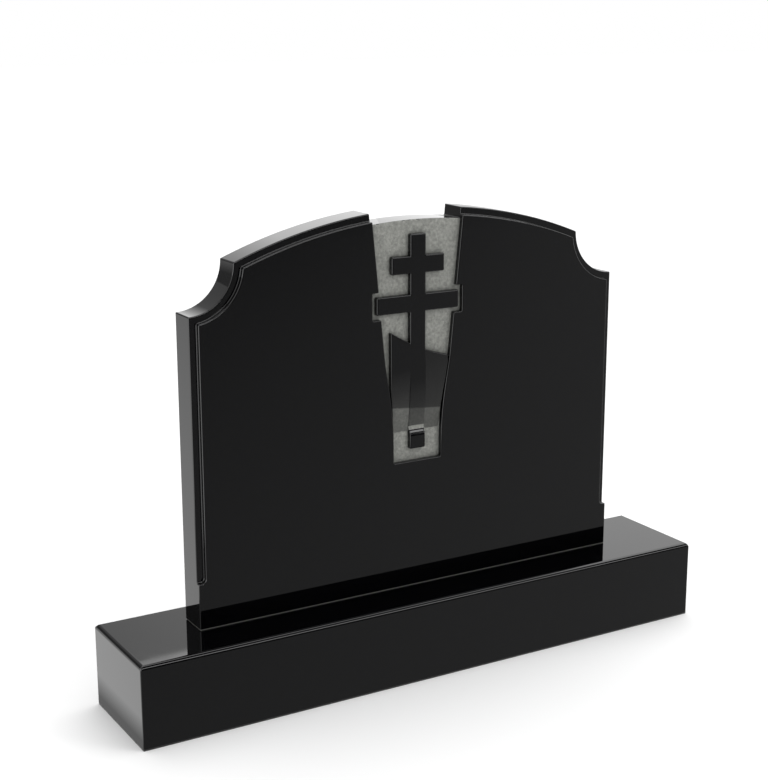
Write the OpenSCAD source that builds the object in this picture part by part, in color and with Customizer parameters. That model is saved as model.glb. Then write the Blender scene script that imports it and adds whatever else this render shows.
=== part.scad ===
// Horizontal headstone: an arched stele with scalloped shoulders, set on a long plinth.
// X runs along the front, the front faces -Y, Z is up from the ground under the plinth.

/* [Plinth] */
// Length of the plinth along the front
plinth_w = 1200; // [1100:10:1500]
// Depth of the plinth from front to back
plinth_d = 216; // [180:2:300]
// Height of the plinth
plinth_h = 154; // [100:2:250]
// Bevel worked along the four top arrises
plinth_bevel = 5; // [2:0.5:12]

/* [Stele] */
// Width of the stele
stele_w = 900; // [800:10:1000]
// Thickness of the stele
stele_t = 64; // [50:1:100]
// Height of the stele at the crown of its arch
stele_h = 716; // [640:2:800]
// Rise of the arch between the two inner shoulder corners
arch_rise = 70; // [50:1:90]
// Radius of the scallop cut out of each shoulder
scallop_r = 86; // [60:1:100]
// Stone left in front of the stele on the plinth
front_ledge = 91; // [40:1:110]
// Thickness of the bed that the stele is set on
bed_t = 2; // [1:0.5:6]
// Distance that the bed is kept back from the faces of the stele
bed_setback = 1; // [0.5:0.5:5]

/* [Rebate and recess] */
// Depth of the rebate and of the recess below the polished face
relief = 9.5; // [6:0.5:14]
// Width of the rebate round the sides and the top
rebate_w = 14; // [8:0.5:20]
// Height at which the rebate stops above the foot
rebate_stop_h = 84; // [60:1:120]
// Radius of the rounded corner at each rebate stop
rebate_stop_r = 8; // [3:0.5:12]
// Distance that the ground of the recess lies below the arch
crown_drop = 21; // [16:1:30]
// Width of the recess at the crown
recess_top_w = 195; // [180:1:220]
// Width of the recess where it closes in to the throat
recess_low_w = 137; // [130:1:145]
// Width of the throat under the foot-rest
throat_w = 115; // [110:1:122]
// Width of the trench below the throat
trench_w = 103; // [96:1:108]
// Height over which the trench widens out to the throat
flare_run = 80; // [50:1:100]
// Ground left below the foot block, down to the foot of the trench
trench_tail = 23; // [10:1:40]

/* [Cross] */
// Width of the shaft and of the bars
bar_w = 33; // [28:1:38]
// Ground left above the shaft, up to the crown gap
shaft_top_gap = 25; // [15:1:40]
// Drop from the top of the shaft to the middle of the upper bar
upper_bar_drop = 56; // [46:1:66]
// Length of the upper bar
upper_bar_w = 112; // [90:1:124]
// Drop from the middle of the upper bar to the middle of the main bar
main_bar_drop = 71; // [60:1:85]
// Length of the main bar
main_bar_w = 175; // [160:1:190]
// Gap left round each end of the main bar in its socket
socket_gap = 8.5; // [4:0.5:12]
// Drop from the middle of the main bar to the top edge of the foot-rest, on the middle of the shaft
rest_drop = 77; // [72:1:90]
// Slope of the foot-rest in degrees
rest_slope = 24; // [18:0.5:28]
// Gap between the low end of the foot-rest and the side of the recess
rest_gap = 3.5; // [2:0.5:6]
// Flat face left between the low end of the foot-rest and the throat
rest_lip = 12; // [6:1:20]
// Height over which the scooped apron runs back from the face to the ground
apron_run = 124; // [100:1:140]
// Amount by which the shaft stands out from the apron
shaft_proud = 1.2; // [0.6:0.1:2]
// Drop from the throat to the front arris of the foot block
block_drop = 131; // [120:1:150]
// Height of the front of the foot block
block_h = 27; // [20:1:40]
// Radius of the cove worked in the top of the foot block
block_cove_r = 45; // [20:1:60]

/* [Hidden] */
$fn = 96;
granite = "#1e1e1f";
bed_grey = "#8c8c88";
// Extra length for cutters that run past a face
over = 1;
// Number of sides drawn for the wide, flat curves
wide_fn = 720;
front_y = -plinth_d / 2 + front_ledge;
ground_y = front_y + relief;
back_y = front_y + stele_t;
stele_foot_z = plinth_h + bed_t;
// Crown line: one arc through the crown and both inner shoulder corners
inner_half_w = stele_w / 2 - scallop_r;
inner_shoulder_h = stele_h - arch_rise;
arch_r = (inner_half_w * inner_half_w + arch_rise * arch_rise) / (2 * arch_rise);
arch_centre_h = stele_h - arch_r;
// Heights of the cross, each hung from the one above it
shaft_top_h = stele_h - crown_drop - shaft_top_gap;
upper_bar_h = shaft_top_h - upper_bar_drop;
main_bar_h = upper_bar_h - main_bar_drop;
rest_h = main_bar_h - rest_drop;
rest_left = throat_w / 2;
rest_right = recess_low_w / 2 - rest_gap;
throat_h = rest_edge_h(rest_right) - rest_lip;
apron_foot_h = throat_h - apron_run;
block_arris_h = throat_h - block_drop;
block_foot_h = block_arris_h - block_h;
trench_foot_h = block_foot_h - trench_tail;
// Scoop of the apron: one arc that leaves the face at the throat and meets the ground at the apron's foot
scoop_r = (apron_run * apron_run + relief * relief) / (2 * relief);
flare_foot_h = throat_h - flare_run;
// Cove of the foot block: it runs out on the ground above the front arris
cove_top_h = block_arris_h + sqrt(relief * (2 * block_cove_r - relief));
taper = (recess_top_w - recess_low_w) / 2 / (stele_h - throat_h);

// Half width of the recess at a height above the throat
function recess_half(h) = recess_low_w / 2 + (h - throat_h) * taper;
// Height of the foot-rest's top edge at a distance x from the middle of the shaft
function rest_edge_h(x) = rest_h - x * tan(rest_slope);

// Sets a drawing of the front, with x across and y up from the stele's foot, between two depths
module upright(y_front, y_back) {
    translate([0, y_back, stele_foot_z])
        rotate([90, 0, 0])
            linear_extrude(y_back - y_front)
                children();
}

// Outline of the stele drawn in from its edge by an inset: arch, scalloped shoulders, straight sides
module stele_outline(inset = 0) {
    difference() {
        intersection() {
            translate([-stele_w / 2 + inset, 0])
                square([stele_w - 2 * inset, stele_h]);
            translate([0, arch_centre_h])
                circle(r = arch_r - inset, $fn = wide_fn);
        }
        for (side = [-1, 1])
            translate([side * stele_w / 2, inner_shoulder_h])
                circle(r = scallop_r + inset);
    }
}

// Rounded corner of stone left where the rebate stops and turns out to the side
module rebate_stop(side) {
    translate([side * (stele_w / 2 - rebate_w), rebate_stop_h])
        mirror([side < 0 ? 1 : 0, 0])
            difference() {
                square(rebate_stop_r);
                translate([rebate_stop_r, rebate_stop_r])
                    circle(r = rebate_stop_r);
            }
}

// Polished face: the outline inside the rebate, on a foot of full width
module face_outline() {
    stele_outline(rebate_w);
    translate([-stele_w / 2, 0])
        square([stele_w, rebate_stop_h]);
    for (side = [-1, 1])
        rebate_stop(side);
}

// Wedge of the recess, from the throat up through the crown
module wedge_outline() {
    crown_h = stele_h + over;
    polygon([
        [-recess_half(throat_h), throat_h],
        [recess_half(throat_h), throat_h],
        [recess_half(crown_h), crown_h],
        [-recess_half(crown_h), crown_h]
    ]);
}

// Trench below the throat, from a lower height up: straight sides that widen out to the throat
module trench_outline(low_h) {
    polygon([
        [-trench_w / 2, low_h],
        [trench_w / 2, low_h],
        [trench_w / 2, flare_foot_h],
        [throat_w / 2, throat_h],
        [throat_w / 2, throat_h + over],
        [-throat_w / 2, throat_h + over],
        [-throat_w / 2, throat_h],
        [-trench_w / 2, flare_foot_h]
    ]);
}

// Recess of the cross: the wedge, the trench and a socket at each end of the main bar
module recess_outline() {
    wedge_outline();
    trench_outline(trench_foot_h);
    translate([-main_bar_w / 2 - socket_gap, main_bar_h - bar_w / 2 - socket_gap])
        square([main_bar_w + 2 * socket_gap, bar_w + 2 * socket_gap]);
}

// Gap through the crown, between the two wings, above the ground of the recess
module crown_gap_outline() {
    difference() {
        wedge_outline();
        translate([0, arch_centre_h])
            circle(r = arch_r - crown_drop, $fn = wide_fn);
    }
}

// Shaft and the two straight bars of the cross, down to the throat
module cross_outline() {
    translate([-bar_w / 2, throat_h])
        square([bar_w, shaft_top_h - throat_h]);
    translate([-upper_bar_w / 2, upper_bar_h - bar_w / 2])
        square([upper_bar_w, bar_w]);
    translate([-main_bar_w / 2, main_bar_h - bar_w / 2])
        square([main_bar_w, bar_w]);
}

// Slanted foot-rest, flat with the face down to the throat
module rest_outline() {
    polygon([
        [-rest_left, rest_edge_h(-rest_left)],
        [-rest_left, throat_h],
        [rest_right, throat_h],
        [rest_right, rest_edge_h(rest_right)]
    ]);
}

// Round bar across the front whose surface leaves the face at the throat, swollen by an amount
module scoop_bar(swell) {
    translate([0, front_y + scoop_r, stele_foot_z + throat_h])
        rotate([0, 90, 0])
            cylinder(h = throat_w + 2 * over, r = scoop_r + swell, center = true, $fn = wide_fn);
}

module plinth() {
    color(granite)
        intersection() {
            translate([0, plinth_d / 2, 0])
                rotate([90, 0, 0])
                    linear_extrude(plinth_d)
                        bevelled_section(plinth_w);
            translate([-plinth_w / 2, 0, 0])
                rotate([90, 0, 90])
                    linear_extrude(plinth_w)
                        bevelled_section(plinth_d);
        }
}

// Section of the plinth with its two top arrises bevelled
module bevelled_section(width) {
    polygon([
        [-width / 2, 0],
        [width / 2, 0],
        [width / 2, plinth_h - plinth_bevel],
        [width / 2 - plinth_bevel, plinth_h],
        [-width / 2 + plinth_bevel, plinth_h],
        [-width / 2, plinth_h - plinth_bevel]
    ]);
}

module bed_joint() {
    color(bed_grey)
        translate([-stele_w / 2 + bed_setback, front_y + bed_setback, plinth_h])
            cube([stele_w - 2 * bed_setback, stele_t - 2 * bed_setback, bed_t]);
}

module stele() {
    color(granite)
        difference() {
            union() {
                upright(front_y, ground_y)
                    difference() {
                        face_outline();
                        recess_outline();
                    }
                upright(ground_y, back_y)
                    stele_outline();
            }
            upright(front_y - over, back_y + over)
                crown_gap_outline();
        }
}

module cross() {
    color(granite) {
        upright(front_y, ground_y) {
            cross_outline();
            rest_outline();
        }
        apron();
        low_shaft();
        foot_block();
    }
}

// Scooped apron under the foot-rest, as wide as the trench
module apron() {
    intersection() {
        upright(front_y, ground_y)
            trench_outline(apron_foot_h);
        scoop_bar(0);
    }
}

// Shaft below the throat, a little proud of the apron
module low_shaft() {
    intersection() {
        upright(front_y, ground_y)
            translate([-bar_w / 2, apron_foot_h])
                square([bar_w, apron_run + over]);
        scoop_bar(shaft_proud);
    }
}

// Foot of the shaft standing out of the ground again, with a coved top
module foot_block() {
    difference() {
        upright(front_y, ground_y)
            translate([-bar_w / 2, block_foot_h])
                square([bar_w, cove_top_h - block_foot_h]);
        translate([0, ground_y - block_cove_r, stele_foot_z + cove_top_h])
            rotate([0, 90, 0])
                cylinder(h = bar_w + 2 * over, r = block_cove_r, center = true);
    }
}

plinth();
bed_joint();
stele();
cross();
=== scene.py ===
import math

import bmesh
import bpy
from mathutils import Matrix, Vector, noise


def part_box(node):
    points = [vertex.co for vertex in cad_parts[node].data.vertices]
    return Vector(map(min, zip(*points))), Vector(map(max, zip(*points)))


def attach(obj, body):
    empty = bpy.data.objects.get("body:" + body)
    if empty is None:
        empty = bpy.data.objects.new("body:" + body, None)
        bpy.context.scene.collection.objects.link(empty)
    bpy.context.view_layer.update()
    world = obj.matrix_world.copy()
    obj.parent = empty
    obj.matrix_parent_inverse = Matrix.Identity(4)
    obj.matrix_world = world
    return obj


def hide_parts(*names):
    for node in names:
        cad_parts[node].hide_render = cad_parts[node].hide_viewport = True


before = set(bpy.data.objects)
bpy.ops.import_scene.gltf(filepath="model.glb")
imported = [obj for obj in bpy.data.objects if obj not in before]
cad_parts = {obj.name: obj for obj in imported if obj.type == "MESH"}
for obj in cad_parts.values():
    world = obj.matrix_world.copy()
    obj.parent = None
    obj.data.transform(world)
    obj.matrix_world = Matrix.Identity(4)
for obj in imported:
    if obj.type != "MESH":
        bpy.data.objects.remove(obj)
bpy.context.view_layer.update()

MM = 0.001

# Sizes of the stones in millimetres. Heights on the stele are measured from its foot.
PLINTH_LOW, PLINTH_HIGH = (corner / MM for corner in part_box("plinth"))
STELE_LOW, STELE_HIGH = (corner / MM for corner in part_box("stele"))
STELE_FOOT = STELE_LOW.z
HALF_W = STELE_HIGH.x
FACE_Y = STELE_LOW.y
BACK_Y = STELE_HIGH.y
RELIEF = 9.5
GROUND_Y = FACE_Y + RELIEF
PLINTH_BEVEL = 5.0

# Outline of the stele and the rebate along its edge
STELE_H = 716.0
ARCH_RISE = 70.0
SCALLOP_R = 86.0
REBATE_W = 14.0
REBATE_STOP_H = 84.0
REBATE_STOP_R = 8.0
SHOULDER_H = STELE_H - ARCH_RISE
INNER_HALF = HALF_W - SCALLOP_R
ARCH_R = (INNER_HALF ** 2 + ARCH_RISE ** 2) / (2 * ARCH_RISE)
ARCH_CENTRE_H = STELE_H - ARCH_R
FOOT_CORNER = (HALF_W, 0.0)
REBATE_CORNER = (HALF_W, REBATE_STOP_H)

# Half widths of the recess
RECESS_TOP_HALF = 97.5
RECESS_LOW_HALF = 68.5
TRENCH_HALF = 51.5

# Upper part of the cross, with each height hung from the one above it
CROWN_DROP = 21.0
BAR_HALF = 16.5
SHAFT_TOP_GAP = 25.0
SHAFT_TOP_H = STELE_H - CROWN_DROP - SHAFT_TOP_GAP
UPPER_BAR_DROP = 56.0
UPPER_BAR_HALF = 56.0
UPPER_BAR_H = SHAFT_TOP_H - UPPER_BAR_DROP
MAIN_BAR_DROP = 71.0
MAIN_BAR_HALF = 87.5
MAIN_BAR_H = UPPER_BAR_H - MAIN_BAR_DROP
SOCKET_GAP = 8.5

# Foot-rest: its top edge slants down to the right and is slightly dished
REST_DROP = 77.0
REST_H = MAIN_BAR_H - REST_DROP
REST_ANGLE = 24.0
REST_SLOPE = math.tan(math.radians(REST_ANGLE))
REST_SAG = 4.5
REST_DISH_R = 310.0
REST_GAP = 3.5
REST_LIP = 12.0
REST_LEFT_HALF = 57.5
REST_RIGHT = RECESS_LOW_HALF - REST_GAP
THROAT_H = REST_H - REST_RIGHT * REST_SLOPE - REST_LIP

# Below the throat: the scooped apron, the block at the foot of the shaft and the foot of the trench
APRON_RUN = 124.0
APRON_GAP = 2.0
SHAFT_PROUD = 1.2
SCOOP_R = (APRON_RUN ** 2 + RELIEF ** 2) / (2 * RELIEF)
APRON_FOOT_H = THROAT_H - APRON_RUN
BLOCK_DROP = 131.0
BLOCK_H = 27.0
BLOCK_ARRIS_H = THROAT_H - BLOCK_DROP
BLOCK_FOOT_H = BLOCK_ARRIS_H - BLOCK_H
COVE_R = 45.0
COVE_TOP_H = BLOCK_ARRIS_H + math.sqrt(RELIEF * (2 * COVE_R - RELIEF))
TRENCH_TAIL = 23.0
TRENCH_FOOT_H = BLOCK_FOOT_H - TRENCH_TAIL
# Step from the last line on the shaft down to the first on the cove
COVE_STEP = 2.0
# Curve that draws the recess in to the trench, by how far it starts above the throat and ends below it
DRAW_ABOVE = 25.0
DRAW_BELOW = 170.0
DRAW_TOP_H = THROAT_H + DRAW_ABOVE
DRAW_FOOT_H = THROAT_H - DRAW_BELOW
# Depth that the back of the cross is let into the ground, so that no edge floats on the rough surface
LET_IN = 2.0
CROSS_BACK_Y = GROUND_Y + LET_IN

# Arrises that the mason eases with a hand block after polishing, by the width that is rounded off
STELE_ARRIS = 2.4
CROSS_ARRIS = 3.0
PLINTH_ARRIS = 3.0
APRON_ARRIS = 1.8
BACK_ARRIS = 0.5
INNER_CORNER = 0.5
# Round left by the cutter in the corner of the rebate
REBATE_ROUND = 2.2
WIDEST_EASE = 3.0
EASE_SEGMENTS = 3
# Edges that turn by less than this many degrees are part of a curve
ARRIS_TURN = 25.0

# Finishes of the stones, by their place in the list of materials
POLISHED, HAMMERED, LEFT_APRON, SHAFT, RIGHT_APRON = range(5)
# Heights over the arris of the foot block: up to here its cove is polished, and its sides are eased
COVE_POLISH_RISE = 9.5
BLOCK_EASE_RISE = 6.0

# Dents of the bush hammer in the ground of the recess, and the share of their depth that lies below it
DENT_GRID = 2.0
DENT_PITCH = 5.0
DENT_DEPTH = 0.9
DENT_SHARE = 0.6
# How squarely a face has to look out of the stone to be ground
SQUARE_ON = 0.999

# Line on the apron where the polish ends: its height, its fall to the right, its ragged edge and its blur
POLISH_END_H = 347.0
POLISH_END_FALL = 0.1
POLISH_END_RAG = 6.0
POLISH_END_BLUR = 1.5
# Rise to the right of the painted light above that line
PAINTED_LIGHT_RISE = 0.15

# Straight pieces in each curve
STOP_STEPS = 8
EDGE_STEPS = 28
CROWN_STEPS = 32
DRAW_STEPS = 20
REST_STEPS = 6
APRON_STEPS = 40
COVE_STEPS = 12
# Tries that find where two curves cross, and the degrees on the scallop between which it meets the arch
CROSSING_TRIES = 60
CROSSING_RANGE = (-200.0, -150.0)

# Distances in millimetres under which points are one, lie on the same plane, or lie on a cut
WELD = 0.001
NEAR = 0.1
CUT_SNAP = 0.0001


def linear(hex_colour):
    """sRGB hex to linear RGBA."""
    parts = [int(hex_colour[i:i + 2], 16) / 255 for i in (1, 3, 5)]
    return tuple(c / 12.92 if c <= 0.04045 else ((c + 0.055) / 1.055) ** 2.4 for c in parts) + (1.0,)


def recess_half(h):
    """Half width of the recess: a straight taper, drawn in by a soft curve to the width of the trench."""
    taper = RECESS_LOW_HALF + (h - THROAT_H) * (RECESS_TOP_HALF - RECESS_LOW_HALF) / (STELE_H - THROAT_H)
    share = min(1.0, max(0.0, (h - DRAW_FOOT_H) / (DRAW_TOP_H - DRAW_FOOT_H)))
    return TRENCH_HALF + (taper - TRENCH_HALF) * share * share * (3 - 2 * share)


def apron_edge(side, h):
    """Outer edge of the apron, just clear of the recess, and on the left no wider than the foot-rest."""
    half = recess_half(h) - APRON_GAP
    return half if side > 0 else -min(REST_LEFT_HALF, half)


def rest_edge(x):
    """Height of the top edge of the foot-rest."""
    return REST_H - REST_SAG - x * REST_SLOPE + x * x / (2 * REST_DISH_R)


def apron_depth(h, proud=0.0):
    """Depth of the scooped apron below the face, for the apron itself or the shaft proud of it."""
    drop = THROAT_H - h
    return max(0.0, SCOOP_R - math.sqrt((SCOOP_R + proud) ** 2 - drop ** 2))


def cove_depth(h):
    """Depth of the cove in the top of the foot block."""
    rise = COVE_TOP_H - h
    return RELIEF - COVE_R + math.sqrt(max(0.0, COVE_R ** 2 - rise ** 2))


def spread(start, end, steps):
    """Evenly spread values from start to end."""
    return [start + (end - start) * i / steps for i in range(steps + 1)]


def arc(cx, ch, r, start, end, steps):
    """Points along an arc, angles in degrees."""
    turn = [math.radians(t) for t in spread(start, end, steps)]
    return [(cx + r * math.cos(t), ch + r * math.sin(t)) for t in turn]


def wedge_meets_arch(inset):
    """Point where the side of the recess crosses the arch drawn in by an inset."""
    x = RECESS_TOP_HALF
    for _ in range(CROSSING_TRIES):
        h = ARCH_CENTRE_H + math.sqrt((ARCH_R - inset) ** 2 - x * x)
        x = recess_half(h)
    return x, h


def scallop_meets_arch(inset):
    """Angle on the scallop where it crosses the arch, both drawn in by an inset, found by halving a range."""
    low, high = CROSSING_RANGE
    for _ in range(CROSSING_TRIES):
        mid = (low + high) / 2
        x, h = arc(HALF_W, SHOULDER_H, SCALLOP_R + inset, mid, mid, 1)[0]
        if math.hypot(x, h - ARCH_CENTRE_H) > ARCH_R - inset:
            low = mid
        else:
            high = mid
    return (low + high) / 2


def arch_arc(inset, start, end, steps):
    """Arc of the arch, drawn in by an inset, between two points on it."""
    ends = [math.degrees(math.atan2(h - ARCH_CENTRE_H, x)) for x, h in (start, end)]
    return arc(0.0, ARCH_CENTRE_H, ARCH_R - inset, ends[0], ends[1], steps)


def flipped(points, side):
    """Points on the right side as they are, or for side -1 on the left."""
    return [(side * x, h) for x, h in points]


def mirrored(points):
    """The other half of an outline, taken on from the end of its right half."""
    return flipped(reversed(points), -1)


def at(point, y):
    """Point of a front drawing at a depth, in metres in the shared frame."""
    return Vector((point[0], y, point[1] + STELE_FOOT)) * MM


class Stone:
    """Collects the faces of one stone, welds them and eases its arrises."""

    def __init__(self, name):
        self.name = name
        self.bm = bmesh.new()

    def face(self, corners, finish=POLISHED):
        self.bm.faces.new([self.bm.verts.new(c) for c in corners]).material_index = finish

    def sheet(self, outline, y, finish=POLISHED):
        """Flat face that looks out of the front or the back."""
        self.face([at(p, y) for p in outline], finish)

    def wall(self, path, y_front, y_back):
        """Faces that run straight back from a path."""
        for a, b in zip(path, path[1:]):
            self.face([at(a, y_front), at(b, y_front), at(b, y_back), at(a, y_back)])

    def band(self, one_edge, other_edge, finishes):
        """Faces between two edges, each a list of points in the shared frame."""
        for a0, a1, b0, b1, finish in zip(one_edge, one_edge[1:], other_edge, other_edge[1:], finishes):
            self.face([a0, b0, b1, a1], finish)

    def make(self, materials, easing):
        """Easing gives the width in mm to round off along an edge, from its ends, or 0 for a sharp edge."""
        bmesh.ops.remove_doubles(self.bm, verts=self.bm.verts, dist=WELD * MM)
        bmesh.ops.recalc_face_normals(self.bm, faces=self.bm.faces)
        weight = self.bm.edges.layers.float.new("bevel_weight_edge")
        for edge in self.bm.edges:
            if edge.calc_face_angle() > math.radians(ARRIS_TURN):
                rough = any(face.material_index == HAMMERED for face in edge.link_faces)
                width = easing(*(v.co / MM for v in edge.verts), not edge.is_convex, rough)
                edge[weight] = width / WIDEST_EASE
                edge.smooth = width > 0
        for face in self.bm.faces:
            face.smooth = True
        mesh = bpy.data.meshes.new(self.name)
        self.bm.to_mesh(mesh)
        self.bm.free()
        for material in materials:
            mesh.materials.append(material)
        stone = bpy.data.objects.new(self.name, mesh)
        bpy.context.scene.collection.objects.link(stone)
        ease = stone.modifiers.new("eased_arrises", "BEVEL")
        ease.limit_method = "WEIGHT"
        ease.width = WIDEST_EASE * MM
        ease.segments = EASE_SEGMENTS
        ease.harden_normals = True
        ease.use_clamp_overlap = False
        ease.miter_outer = "MITER_ARC"
        bpy.context.view_layer.update()
        eased = stone.evaluated_get(bpy.context.evaluated_depsgraph_get())
        stone.data = bpy.data.meshes.new_from_object(eased)
        stone.data.name = self.name
        stone.modifiers.clear()
        return stone


def is_ground(face):
    return face.material_index == HAMMERED and face.normal.y < -SQUARE_ON


def hammer_ground(stone):
    """Dents the rough ground of the recess: cut into small squares, then struck by the hammer's points."""
    bm = bmesh.new()
    bm.from_mesh(stone.data)
    ground = [f for f in bm.faces if is_ground(f)]
    parts = list({part for f in ground for part in [f, *f.edges, *f.verts]})
    upward, sideways = Vector((0, 0, 1)), Vector((1, 0, 0))
    spans = [
        (upward, STELE_FOOT + TRENCH_FOOT_H, STELE_FOOT + STELE_H),
        (sideways, -RECESS_TOP_HALF, RECESS_TOP_HALF),
    ]
    for across, start, end in spans:
        for i in range(1, int((end - start) / DENT_GRID)):
            place = across * (start + i * DENT_GRID) * MM
            cut = bmesh.ops.bisect_plane(bm, geom=parts, plane_co=place, plane_no=across, dist=CUT_SNAP * MM)
            parts = cut["geom"]
    for vert in (part for part in parts if isinstance(part, bmesh.types.BMVert)):
        if all(is_ground(f) for f in vert.link_faces) and abs(vert.co.y - GROUND_Y * MM) < WELD * MM:
            from_point = noise.voronoi(vert.co / (DENT_PITCH * MM))[0][0]
            vert.co.y += DENT_DEPTH * MM * (DENT_SHARE - from_point)
    bm.to_mesh(stone.data)
    bm.free()


def node(tree, kind, settings=None, **links):
    """Adds a shader node, sets its properties, inputs and ramp stops, and links inputs to (node, output).
    An input that has no name of its own is given by its place, as in i1."""
    made = tree.nodes.new(kind)
    for name, value in (settings or {}).items():
        if name == "stops":
            points = made.color_ramp.elements
            while len(points) < len(value):
                points.new(0.5)
            for point, (place, colour) in zip(points, value):
                point.position, point.color = place, linear(colour)
        elif name in made.inputs:
            made.inputs[name].default_value = value
        elif name[0] == "i" and name[1:].isdigit():
            made.inputs[int(name[1:])].default_value = value
        else:
            setattr(made, name, value)
    for name, (source, output) in links.items():
        unnamed = name[0] == "i" and name[1:].isdigit()
        socket = made.inputs[int(name[1:]) if unnamed else name.replace("_", " ")]
        tree.links.new(source.outputs[output], socket)
    return made


def new_material(name):
    material = bpy.data.materials.new(name)
    material.use_nodes = True
    material.node_tree.nodes.clear()
    return material, material.node_tree


def polished_gabbro():
    """Black gabbro, sawn and machine polished: nearly black crystals 1 to 2 mm across with a few grey felspar
    flecks, under a mirror polish, so the eye sees mostly the room reflected in it."""
    material, tree = new_material("polished_gabbro")
    place = node(tree, "ShaderNodeTexCoord")
    crystals = node(tree, "ShaderNodeTexVoronoi", {"Scale": 1 / (1.6 * MM), "Randomness": 1.0},
                    Vector=(place, "Object"))
    crystal_tones = [(0.0, "#020203"), (0.6, "#040405"), (0.88, "#070708"), (1.0, "#121314")]
    shade = node(tree, "ShaderNodeValToRGB", {"stops": crystal_tones}, Fac=(crystals, "Color"))
    cloud = node(tree, "ShaderNodeTexNoise", {"Scale": 1 / (45 * MM), "Detail": 3.0},
                 Vector=(place, "Object"))
    gloss_range = {"From Min": 0.3, "From Max": 0.7, "To Min": 0.025, "To Max": 0.05}
    gloss = node(tree, "ShaderNodeMapRange", gloss_range, Value=(cloud, "Fac"))
    stone = node(tree, "ShaderNodeBsdfPrincipled", {"IOR": 1.6},
                 Base_Color=(shade, "Color"), Roughness=(gloss, "Result"))
    node(tree, "ShaderNodeOutputMaterial", None, Surface=(stone, "BSDF"))
    return material


def hammered_gabbro():
    """The same gabbro, bush-hammered: the points bruise the crystals to a dull mid grey with pits 3 to 5 mm
    apart, so it scatters light where the polish mirrors it. Its colour is darkened by ambient occlusion
    near walls and corners, which is painted shade."""
    material, tree = new_material("hammered_gabbro")
    place = node(tree, "ShaderNodeTexCoord")
    bruise = node(tree, "ShaderNodeTexNoise", {"Scale": 1 / (5 * MM), "Detail": 5.0, "Roughness": 0.7},
                  Vector=(place, "Object"))
    bruise_tones = [(0.3, "#686965"), (0.5, "#80817c"), (0.7, "#979892")]
    shade = node(tree, "ShaderNodeValToRGB", {"stops": bruise_tones}, Fac=(bruise, "Fac"))
    # Painted shade: ambient occlusion within 40 mm darkens the colour next to the walls and the cross
    corners = node(tree, "ShaderNodeAmbientOcclusion", {"samples": 8, "Distance": 40 * MM})
    corner_shade = node(tree, "ShaderNodeMath", {"operation": "POWER", "i1": 0.5}, i0=(corners, "AO"))
    shade = node(tree, "ShaderNodeVectorMath", {"operation": "SCALE"},
                 Vector=(shade, "Color"), Scale=(corner_shade, "Value"))
    points = node(tree, "ShaderNodeTexVoronoi", {"Scale": 1 / (3.2 * MM)}, Vector=(place, "Object"))
    dent = node(tree, "ShaderNodeBump", {"Strength": 0.5, "Distance": 0.5 * MM}, Height=(points, "Distance"))
    stone = node(tree, "ShaderNodeBsdfPrincipled", {"IOR": 1.5, "Roughness": 0.85},
                 Base_Color=(shade, "Vector"), Normal=(dent, "Normal"))
    node(tree, "ShaderNodeOutputMaterial", None, Surface=(stone, "BSDF"))
    return material


def fading_gabbro(name, painted_light_top, painted_light_foot, bruised):
    """Polish whose colour is painted lighter down the scoop and to the right, which is painted light, and
    which stops at a slanted line; below it the hammer has gone over the stone, and its colour is painted
    darker, which is painted shade. Bruised says how far, from 0 for none to 1."""
    material, tree = new_material(name)
    place = node(tree, "ShaderNodeTexCoord")
    # Height on a slant, so that the painted light begins and ends higher on the right
    slant = node(tree, "ShaderNodeVectorMath", {"operation": "DOT_PRODUCT", "i1": (-PAINTED_LIGHT_RISE, 0, 1)},
                 i0=(place, "Object"))
    painted_light_ends = {"From Min": (STELE_FOOT + painted_light_top) * MM, "From Max": (STELE_FOOT + painted_light_foot) * MM}
    painted_light = node(tree, "ShaderNodeMapRange", painted_light_ends, Value=(slant, "Value"))
    # Painted light: the colour lightens from near black to grey down the scoop
    painted_light_tones = [(0.0, "#040405"), (0.5, "#1d1d1d"), (1.0, "#313130")]
    painted_light_colour = node(tree, "ShaderNodeValToRGB", {"stops": painted_light_tones}, Fac=(painted_light, "Result"))
    chips = node(tree, "ShaderNodeTexNoise", {"Scale": 1 / (5 * MM), "Detail": 5.0, "Roughness": 0.7},
                 Vector=(place, "Object"))
    # Painted shade: the chips are coloured darker than the hammered ground, which darkens the stone below the
    # polish
    shaded_chip_tones = [(0.3, "#484946"), (0.5, "#565753"), (0.7, "#656661")]
    chipped_and_shaded = node(tree, "ShaderNodeValToRGB", {"stops": shaded_chip_tones}, Fac=(chips, "Fac"))
    # Height that falls to the right with the end of the polish, shifted by the chips
    fall = node(tree, "ShaderNodeVectorMath", {"operation": "DOT_PRODUCT", "i1": (POLISH_END_FALL, 0, 1)},
                i0=(place, "Object"))
    ragged = node(tree, "ShaderNodeMath", {"operation": "MULTIPLY_ADD", "i1": POLISH_END_RAG * MM},
                  i0=(chips, "Fac"), i2=(fall, "Value"))
    line = STELE_FOOT + POLISH_END_H
    line_ends = {"From Min": (line + POLISH_END_BLUR) * MM, "From Max": (line - POLISH_END_BLUR) * MM}
    below = node(tree, "ShaderNodeMapRange", {**line_ends, "To Max": bruised}, Value=(ragged, "Value"))
    shade = node(tree, "ShaderNodeMixRGB", None,
                 Fac=(below, "Result"), Color1=(painted_light_colour, "Color"), Color2=(chipped_and_shaded, "Color"))
    gloss = node(tree, "ShaderNodeMapRange", {"To Min": 0.04, "To Max": 0.7}, Value=(below, "Result"))
    stone = node(tree, "ShaderNodeBsdfPrincipled", {"IOR": 1.6},
                 Base_Color=(shade, "Color"), Roughness=(gloss, "Result"))
    node(tree, "ShaderNodeOutputMaterial", None, Surface=(stone, "BSDF"))
    return material


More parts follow.
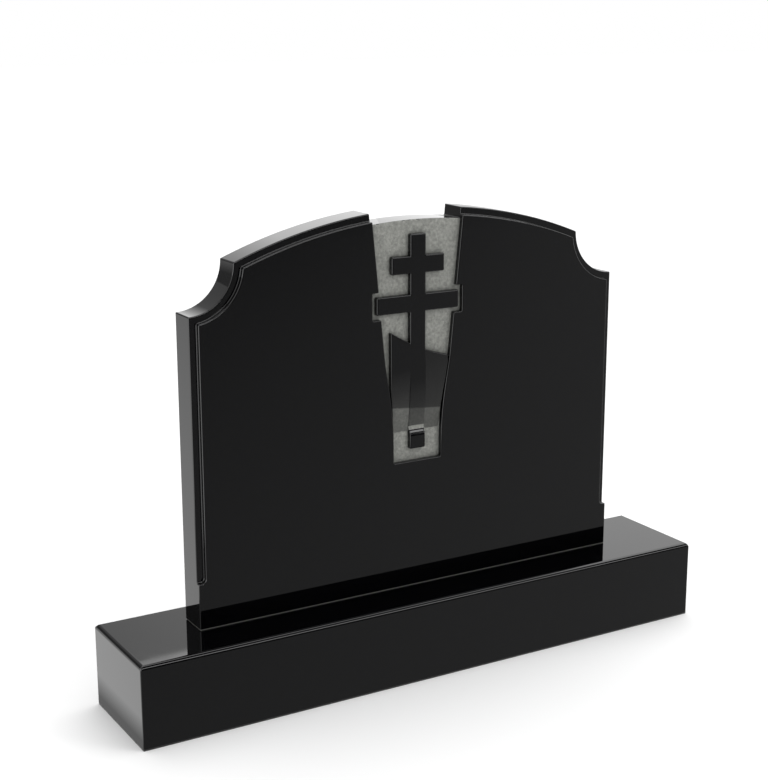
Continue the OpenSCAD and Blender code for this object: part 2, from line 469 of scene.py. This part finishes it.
def bed_mortar():
    """Grey cement bed with fine sand, struck off with a pointing iron: matt and slightly speckled."""
    material, tree = new_material("bed_mortar")
    place = node(tree, "ShaderNodeTexCoord")
    sand = node(tree, "ShaderNodeTexNoise", {"Scale": 1 / (1.2 * MM), "Detail": 2.0},
                Vector=(place, "Object"))
    sand_tones = [(0.3, "#5a5a57"), (0.7, "#74746f")]
    shade = node(tree, "ShaderNodeValToRGB", {"stops": sand_tones}, Fac=(sand, "Fac"))
    mortar = node(tree, "ShaderNodeBsdfPrincipled", {"Roughness": 0.9}, Base_Color=(shade, "Color"))
    node(tree, "ShaderNodeOutputMaterial", None, Surface=(mortar, "BSDF"))
    return material


def slab_path():
    """Right edge of the slab: up the side from the rebate's stop, round the scallop and along the arch."""
    scallop = arc(HALF_W, SHOULDER_H, SCALLOP_R, -90, -180, EDGE_STEPS)
    arch = arch_arc(0.0, scallop[-1], wedge_meets_arch(0.0), EDGE_STEPS)
    return [REBATE_CORNER] + scallop + arch[1:]


def rebate_path():
    """Right edge of the polished face: along the rebate, from its rounded stop to the recess."""
    stop_x = HALF_W - REBATE_W + REBATE_STOP_R
    stop = arc(stop_x, REBATE_STOP_H + REBATE_STOP_R, REBATE_STOP_R, -90, -180, STOP_STEPS)
    scallop_r = SCALLOP_R + REBATE_W
    start = math.degrees(math.atan2(-math.sqrt(scallop_r ** 2 - REBATE_W ** 2), -REBATE_W))
    scallop = arc(HALF_W, SHOULDER_H, scallop_r, start, scallop_meets_arch(REBATE_W), EDGE_STEPS)
    arch = arch_arc(REBATE_W, scallop[-1], wedge_meets_arch(REBATE_W), EDGE_STEPS)
    return [REBATE_CORNER] + stop + scallop + arch[1:]


def recess_path():
    """Right edge of the recess: from the crown, round the main bar's socket, to the foot of the trench."""
    socket_x = MAIN_BAR_HALF + SOCKET_GAP
    socket_low = MAIN_BAR_H - BAR_HALF - SOCKET_GAP
    socket_high = MAIN_BAR_H + BAR_HALF + SOCKET_GAP
    path = [
        wedge_meets_arch(CROWN_DROP),
        (recess_half(socket_high), socket_high), (socket_x, socket_high),
        (socket_x, socket_low), (recess_half(socket_low), socket_low),
    ]
    path += [(recess_half(h), h) for h in spread(DRAW_TOP_H, DRAW_FOOT_H, DRAW_STEPS)]
    return path + [(TRENCH_HALF, TRENCH_FOOT_H)]


def build_stele(polish, hammered):
    """Stele as one two-level stone: the slab behind, and the polished face that stands out by the relief."""
    slab, rebate, recess = slab_path(), rebate_path(), recess_path()
    face_top = wedge_meets_arch(REBATE_W)
    ground_top = recess[0]
    crown = arch_arc(CROWN_DROP, ground_top, (-ground_top[0], ground_top[1]), CROWN_STEPS)

    stele = Stone("stele_stone")
    half_face = [FOOT_CORNER] + rebate + recess
    stele.sheet(half_face + mirrored(half_face), FACE_Y)
    half_slab = [FOOT_CORNER] + slab + [face_top]
    stele.sheet(half_slab + crown + mirrored(half_slab), BACK_Y)
    stele.sheet(recess + mirrored(recess) + crown[-2:0:-1], GROUND_Y, HAMMERED)
    stele.wall(recess + mirrored(recess), FACE_Y, GROUND_Y)
    stele.wall(crown, GROUND_Y, BACK_Y)
    stele.wall(mirrored([FOOT_CORNER]) + [FOOT_CORNER], FACE_Y, BACK_Y)
    for side in (1, -1):
        stele.sheet(flipped(slab + rebate[:0:-1], side), GROUND_Y)
        stele.wall(flipped(rebate, side), FACE_Y, GROUND_Y)
        stele.wall(flipped(slab + [face_top], side), GROUND_Y, BACK_Y)
        low, high = flipped([FOOT_CORNER, REBATE_CORNER], side)
        stele.face([at(low, FACE_Y), at(high, FACE_Y), at(high, GROUND_Y), at(high, BACK_Y), at(low, BACK_Y)])
        low, high = flipped([ground_top, face_top], side)
        depths = [FACE_Y, GROUND_Y, BACK_Y]
        stele.face([at(high, y) for y in depths] + [at(low, y) for y in reversed(depths)])

    def easing(a, b, inside, rough):
        if max(a.z, b.z) < STELE_FOOT + NEAR:
            return 0.0
        if inside:
            return INNER_CORNER if rough else REBATE_ROUND
        return BACK_ARRIS if min(a.y, b.y) > BACK_Y - NEAR else STELE_ARRIS

    stone = stele.make([polish, hammered], easing)
    hammer_ground(stone)
    return stone


def build_cross(polish, hammered, left_apron, shaft_finish, right_apron):
    """Relief cross: flat shaft, bars and foot-rest, then the scooped apron with the shaft proud of it, and
    the foot block."""
    cross = Stone("cross_relief")
    right_rest = [(x, rest_edge(x)) for x in spread(REST_RIGHT, BAR_HALF, REST_STEPS)]
    left_rest = [(x, rest_edge(x)) for x in spread(-BAR_HALF, -REST_LEFT_HALF, REST_STEPS)]
    bars = [
        (BAR_HALF, MAIN_BAR_H - BAR_HALF), (MAIN_BAR_HALF, MAIN_BAR_H - BAR_HALF),
        (MAIN_BAR_HALF, MAIN_BAR_H + BAR_HALF), (BAR_HALF, MAIN_BAR_H + BAR_HALF),
        (BAR_HALF, UPPER_BAR_H - BAR_HALF), (UPPER_BAR_HALF, UPPER_BAR_H - BAR_HALF),
        (UPPER_BAR_HALF, UPPER_BAR_H + BAR_HALF), (BAR_HALF, UPPER_BAR_H + BAR_HALF), (BAR_HALF, SHAFT_TOP_H),
    ]
    left = mirrored(bars) + left_rest + [(-REST_LEFT_HALF, THROAT_H)]
    right_throat = (apron_edge(1, THROAT_H), THROAT_H)
    cross.sheet([(-BAR_HALF, THROAT_H), (BAR_HALF, THROAT_H), right_rest[-1]] + bars + left, FACE_Y)
    cross.sheet([(BAR_HALF, THROAT_H), right_throat] + right_rest, FACE_Y, RIGHT_APRON)
    cross.wall([right_throat] + right_rest + bars + left, FACE_Y, CROSS_BACK_Y)

    # Profiles of heights and depths, down the apron, the shaft in front of it, and the block with its cove
    heights = spread(THROAT_H, APRON_FOOT_H, APRON_STEPS)
    apron = [(h, FACE_Y + apron_depth(h)) for h in heights]
    shaft_heights = [h for h in heights if h >= COVE_TOP_H or cove_depth(h) >= apron_depth(h, SHAFT_PROUD)]
    shaft = [(h, FACE_Y + apron_depth(h, SHAFT_PROUD)) for h in shaft_heights]
    cove = spread(shaft_heights[-1] - COVE_STEP, BLOCK_ARRIS_H, COVE_STEPS)
    block = [(h, FACE_Y + cove_depth(h)) for h in cove]
    block += [(BLOCK_FOOT_H, FACE_Y), (BLOCK_FOOT_H, CROSS_BACK_Y)]
    for side, finish in ((1, RIGHT_APRON), (-1, LEFT_APRON)):
        inner = side * BAR_HALF
        inner_edge = [at((inner, h), y) for h, y in apron]
        outer_edge = [at((apron_edge(side, h), h), y) for h, y in apron]
        back_edge = [at((apron_edge(side, h), h), CROSS_BACK_Y) for h in heights]
        cross.band(inner_edge, outer_edge, [finish] * APRON_STEPS)
        cross.band(outer_edge, back_edge, [POLISHED] * APRON_STEPS)
        cross.face([inner_edge[-1], outer_edge[-1], back_edge[-1], at((inner, APRON_FOOT_H), CROSS_BACK_Y)])
        # Sides of the shaft: they start from nothing at the throat, so the first is a triangle
        for i in range(len(shaft) - 1):
            strip = [shaft[i], shaft[i + 1], apron[i + 1], apron[i]][:4 if i else 3]
            cross.face([at((inner, h), y) for h, y in strip])
        cheek = shaft[-1:] + block + [(APRON_FOOT_H, CROSS_BACK_Y)] + apron[:len(shaft) - 2:-1]
        cross.face([at((inner, h), y) for h, y in cheek])
    back = [(apron_edge(1, h), h) for h in heights[::-1]] + right_rest + bars + left
    back += [(apron_edge(-1, h), h) for h in heights[1:]]
    shaft_foot = [(BAR_HALF, BLOCK_FOOT_H), (BAR_HALF, APRON_FOOT_H)]
    cross.sheet(back + flipped(shaft_foot[::-1], -1) + shaft_foot, CROSS_BACK_Y)
    left_edge, right_edge = ([at((x, h), y) for h, y in shaft + block] for x in (-BAR_HALF, BAR_HALF))
    finishes = [SHAFT] * (len(shaft) - 1)
    finishes += [HAMMERED if h > BLOCK_ARRIS_H + COVE_POLISH_RISE else POLISHED for h, _ in block]
    cross.band(left_edge, right_edge, finishes)

    def easing(a, b, inside, rough):
        beside_shaft = all(abs(abs(p.x) - BAR_HALF) < NEAR for p in (a, b))
        on_apron = all(BLOCK_ARRIS_H + BLOCK_EASE_RISE < p.z - STELE_FOOT < THROAT_H + NEAR for p in (a, b))
        if min(a.y, b.y) > GROUND_Y - 2 * NEAR or (beside_shaft and on_apron):
            return 0.0
        if max(a.z, b.z) < STELE_FOOT + THROAT_H + NEAR and min(abs(a.x), abs(b.x)) > BAR_HALF + NEAR:
            return APRON_ARRIS
        return INNER_CORNER if inside else CROSS_ARRIS

    return cross.make([polish, hammered, left_apron, shaft_finish, right_apron], easing)


def build_plinth(polish):
    """Plinth block: sawn and polished, with a bevel along its four top arrises."""
    low, high = PLINTH_LOW, PLINTH_HIGH
    plinth = Stone("plinth_stone")
    rings = []
    for inset, z in ((0.0, low.z), (0.0, high.z - PLINTH_BEVEL), (PLINTH_BEVEL, high.z)):
        x0, x1, y0, y1 = low.x + inset, high.x - inset, low.y + inset, high.y - inset
        rings.append([Vector(c) * MM for c in ((x0, y0, z), (x1, y0, z), (x1, y1, z), (x0, y1, z))])
    plinth.face(rings[0])
    plinth.face(rings[-1])
    for lower, upper in zip(rings, rings[1:]):
        for i in range(4):
            j = (i + 1) % 4
            plinth.face([lower[i], lower[j], upper[j], upper[i]])

    def easing(a, b, inside, rough):
        at_back = min(a.y, b.y) > high.y - PLINTH_BEVEL - NEAR
        at_foot = max(a.z, b.z) < low.z + NEAR
        return BACK_ARRIS if at_back or at_foot else PLINTH_ARRIS

    return plinth.make([polish], easing)


polish = polished_gabbro()
hammered = hammered_gabbro()
mortar = bed_mortar()
# Heights where the painted light on each part of the scoop begins and is full, and how far the part below is
# bruised
left_apron = fading_gabbro("fading_gabbro_left_apron", painted_light_top=425, painted_light_foot=345, bruised=1.0)
right_apron = fading_gabbro("fading_gabbro_right_apron", painted_light_top=500, painted_light_foot=270, bruised=0.72)
shaft_finish = fading_gabbro("fading_gabbro_shaft", painted_light_top=400, painted_light_foot=300, bruised=0.35)

stele = build_stele(polish, hammered)
cross = build_cross(polish, hammered, left_apron, shaft_finish, right_apron)
plinth = build_plinth(polish)
for stone, cad_node in ((stele, "stele"), (cross, "cross"), (plinth, "plinth")):
    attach(stone, "root")
    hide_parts(cad_node)
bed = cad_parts["bed_joint"]
bed.data.materials.clear()
bed.data.materials.append(mortar)


def white_floor():
    """White seamless paper, which keeps the shadow of the stone."""
    material, tree = new_material("white_floor")
    paper = node(tree, "ShaderNodeBsdfDiffuse", {"Color": linear("#f7f7f7")})
    node(tree, "ShaderNodeOutputMaterial", None, Surface=(paper, "BSDF"))
    return material


def even_card(name, level):
    """Card of one brightness that the polish mirrors."""
    material, tree = new_material(name)
    card = node(tree, "ShaderNodeEmission", {"Strength": level})
    node(tree, "ShaderNodeOutputMaterial", None, Surface=(card, "Emission"))
    return material


def graded_cloth(name, level, slope, least, most):
    """Cloth that the polish mirrors: its brightness at the origin, its change per metre, and its limits."""
    material, tree = new_material(name)
    place = node(tree, "ShaderNodeNewGeometry")
    change = node(tree, "ShaderNodeVectorMath", {"operation": "DOT_PRODUCT", "i1": slope},
                  i0=(place, "Position"))
    bright = node(tree, "ShaderNodeMath", {"operation": "ADD", "i1": level}, i0=(change, "Value"))
    bright = node(tree, "ShaderNodeClamp", {"Min": least, "Max": most}, Value=(bright, "Value"))
    cloth = node(tree, "ShaderNodeEmission", None, Strength=(bright, "Result"))
    node(tree, "ShaderNodeOutputMaterial", None, Surface=(cloth, "Emission"))
    return material


def stage_sheet(name, outlines, material, reflected_only=True):
    """Flat sheets of the studio, which aren't part of the object."""
    mesh = bpy.data.meshes.new(name)
    starts = [sum(len(outline) for outline in outlines[:i]) for i in range(len(outlines))]
    faces = [range(start, start + len(outline)) for start, outline in zip(starts, outlines)]
    mesh.from_pydata([corner for outline in outlines for corner in outline], [], faces)
    mesh.materials.append(material)
    sheet = bpy.data.objects.new(name, mesh)
    bpy.context.scene.collection.objects.link(sheet)
    if reflected_only:
        for ray in ("camera", "diffuse", "shadow", "transmission"):
            setattr(sheet, "visible_" + ray, False)


def lying(x0, x1, y0, y1, z):
    """Corners of a level sheet."""
    return [(x0, y0, z), (x1, y0, z), (x1, y1, z), (x0, y1, z)]


def hanging(x0, x1, y, z0, z1):
    """Corners of a sheet that hangs along the front or the back."""
    return [(x0, y, z0), (x1, y, z0), (x1, y, z1), (x0, y, z1)]


# Places in the studio in metres. What lies on the floor is just over it and ends just clear of the plinth.
LAY_Z = 0.001
FLOOR_HALF = 30
ROOM_X = 6
CEILING_Z = 5.6
CLOTH_NEAR_Y = -0.112
CLOTH_NEAR_X = -0.62
CLOTH_FAR_Y = -5.0
CLOTH_FAR_X = -3.5
CLOTH_RIGHT_X = 14
BACK_CLOTH_Y = 2.6
BACK_CLOTH_FOOT_Z = 0.35
BACK_CLOTH_FOLD_Z = 1.15
BACK_CLOTH_TOP_Z = 4
PAPER_NEAR_Y = 0.112
PAPER_STEP_X = -0.6
PAPER_STEP_Y = 0.45
PAPER_FAR_Y = 5
LEFT_CARD_X = -1.5

stage_sheet("white_floor", [lying(-FLOOR_HALF, FLOOR_HALF, -FLOOR_HALF, FLOOR_HALF, 0)], white_floor(), False)

# The dark side of the room, seen only in the polish: cloth on the floor, and a curtain behind the camera
near_corner = (CLOTH_NEAR_X, CLOTH_NEAR_Y, LAY_Z)
far_corner = (CLOTH_FAR_X, CLOTH_FAR_Y, LAY_Z)
front_floor = [
    near_corner, (CLOTH_RIGHT_X, CLOTH_NEAR_Y, LAY_Z), (CLOTH_RIGHT_X, CLOTH_FAR_Y, LAY_Z), far_corner,
]
front_curtain = hanging(CLOTH_FAR_X, CLOTH_RIGHT_X, CLOTH_FAR_Y, LAY_Z, CEILING_Z)
stage_sheet("front_cloth", [front_floor, front_curtain],
            graded_cloth("front_cloth", 0.265, (0.062, 0.053, -0.4), 0.0, 0.6))
cloth_edge = [near_corner, far_corner, (-ROOM_X, CLOTH_FAR_Y, LAY_Z), (-ROOM_X, CLOTH_NEAR_Y, LAY_Z)]
stage_sheet("cloth_edge", [cloth_edge], graded_cloth("cloth_edge", -0.42, (-1.3, 0.77, 0), 0.1, 1.0))
stage_sheet("ceiling_cloth", [lying(-4, ROOM_X, CLOTH_FAR_Y, -1, CEILING_Z)],
            even_card("ceiling_cloth", 0.02))

# Behind the stone: a cloth that is brighter at its foot, and paper on the floor that grows darker to the back
stage_sheet("back_cloth", [hanging(-ROOM_X, ROOM_X, BACK_CLOTH_Y, BACK_CLOTH_FOLD_Z, BACK_CLOTH_TOP_Z)],
            graded_cloth("back_cloth", 0.5, (0.3, 0, 0), 0.15, 1.15))
stage_sheet("back_cloth_foot",
            [hanging(-ROOM_X, ROOM_X, BACK_CLOTH_Y, BACK_CLOTH_FOOT_Z, BACK_CLOTH_FOLD_Z)],
            graded_cloth("back_cloth_foot", 1.19, (0.3, 0, -0.6), 0.15, 0.83))
rear_paper = [
    (-ROOM_X, PAPER_STEP_Y, LAY_Z), (PAPER_STEP_X, PAPER_STEP_Y, LAY_Z), (PAPER_STEP_X, PAPER_NEAR_Y, LAY_Z),
    (ROOM_X, PAPER_NEAR_Y, LAY_Z), (ROOM_X, PAPER_FAR_Y, LAY_Z), (-ROOM_X, PAPER_FAR_Y, LAY_Z),
]
stage_sheet("rear_paper", [rear_paper], graded_cloth("rear_paper", 1.06, (0, -0.09, 0), 0.6, 1.06))
stage_sheet("end_paper", [lying(-2, -0.602, CLOTH_NEAR_Y, PAPER_STEP_Y, LAY_Z)],
            graded_cloth("end_paper", -14.8, (-25, 0, 0), 0.5, 1.3))
stage_sheet("back_card", [hanging(-1.2, 1.7, 2.0, 1.13, 2.6)],
            graded_cloth("back_card", 0.85, (2.2, 0, 0), 0.35, 1.75))
stage_sheet("crown_card", [hanging(0.26, 0.8, 0.6, 0.88, 1.04)], even_card("crown_card", 1.5))

# White cards whose light shows only along the eased arrises
left_card = [(LEFT_CARD_X, y, z) for y, z in ((-0.9, 0), (0.6, 0), (0.6, 1.0), (-0.9, 1.0))]
stage_sheet("left_card", [left_card], even_card("left_card", 2.2))
stage_sheet("front_card", [hanging(-2, ROOM_X, -4.9, 3.1, 5.4)], even_card("front_card", 3.5))
stage_sheet("top_card", [lying(-1, ROOM_X, -1, 3.5, 5.5)], even_card("top_card", 2.2))

# White room for the eye and the polish, and a plain level of light for the rest
world = bpy.data.worlds.new("studio")
bpy.context.scene.world = world
world.use_nodes = True
sky = world.node_tree
sky.nodes.clear()
path = node(sky, "ShaderNodeLightPath")
seen = node(sky, "ShaderNodeMath", {"operation": "ADD"},
            i0=(path, "Is Camera Ray"), i1=(path, "Is Glossy Ray"))
seen = node(sky, "ShaderNodeMath", {"operation": "ADD", "use_clamp": True},
            i0=(seen, "Value"), i1=(path, "Is Transmission Ray"))
level = node(sky, "ShaderNodeMapRange", {"To Min": 0.78, "To Max": 1.0}, Value=(seen, "Value"))
room = node(sky, "ShaderNodeBackground", {"Color": (1, 1, 1, 1)}, Strength=(level, "Result"))
node(sky, "ShaderNodeOutputWorld", None, Surface=(room, "Background"))


def lamp(name, kind, place, aim, power, **settings):
    """Lamp whose own shape shows neither to the camera nor in the polish."""
    light = bpy.data.lights.new(name, kind)
    light.energy = power
    for setting, value in settings.items():
        setattr(light, setting, value)
    made = bpy.data.objects.new(name, light)
    bpy.context.scene.collection.objects.link(made)
    made.location = place
    made.rotation_euler = (Vector(aim) - Vector(place)).to_track_quat("-Z", "Y").to_euler()
    made.visible_camera = False
    made.visible_glossy = False


lamp("top_light", "SUN", place=(0.8, 0.45, 3), aim=(0, 0, 0), power=1.45, angle=math.radians(70))
lamp("front_box", "AREA", place=(1.75, -2.3, 2.4), aim=(0, 0, 0.5), power=20.0,
     shape="RECTANGLE", size=1.2, size_y=1.2)

# Camera at the photo's angle: yaw, pitch and roll in degrees, place in metres, lens and sensor in millimetres
YAW, PITCH, ROLL = (math.radians(a) for a in (30.527, 13.951, -0.105))
CAMERA_PLACE = (-1.4581, -2.3653, 1.2215)
LENS = 71.05
SENSOR_W = 36
ahead = Vector((math.sin(YAW) * math.cos(PITCH), math.cos(YAW) * math.cos(PITCH), -math.sin(PITCH)))
across = Vector((math.cos(YAW), -math.sin(YAW), 0))
above = across.cross(ahead)
right = across * math.cos(ROLL) + above * math.sin(ROLL)
up = above * math.cos(ROLL) - across * math.sin(ROLL)
view = bpy.data.cameras.new("view")
view.sensor_width = SENSOR_W
view.lens = LENS
view.clip_end = 60
camera = bpy.data.objects.new("view", view)
bpy.context.scene.collection.objects.link(camera)
turned = Matrix((right, up, -ahead)).transposed().to_4x4()
camera.matrix_world = Matrix.Translation(CAMERA_PLACE) @ turned
bpy.context.scene.camera = camera
bpy.context.scene.view_settings.view_transform = "Standard"
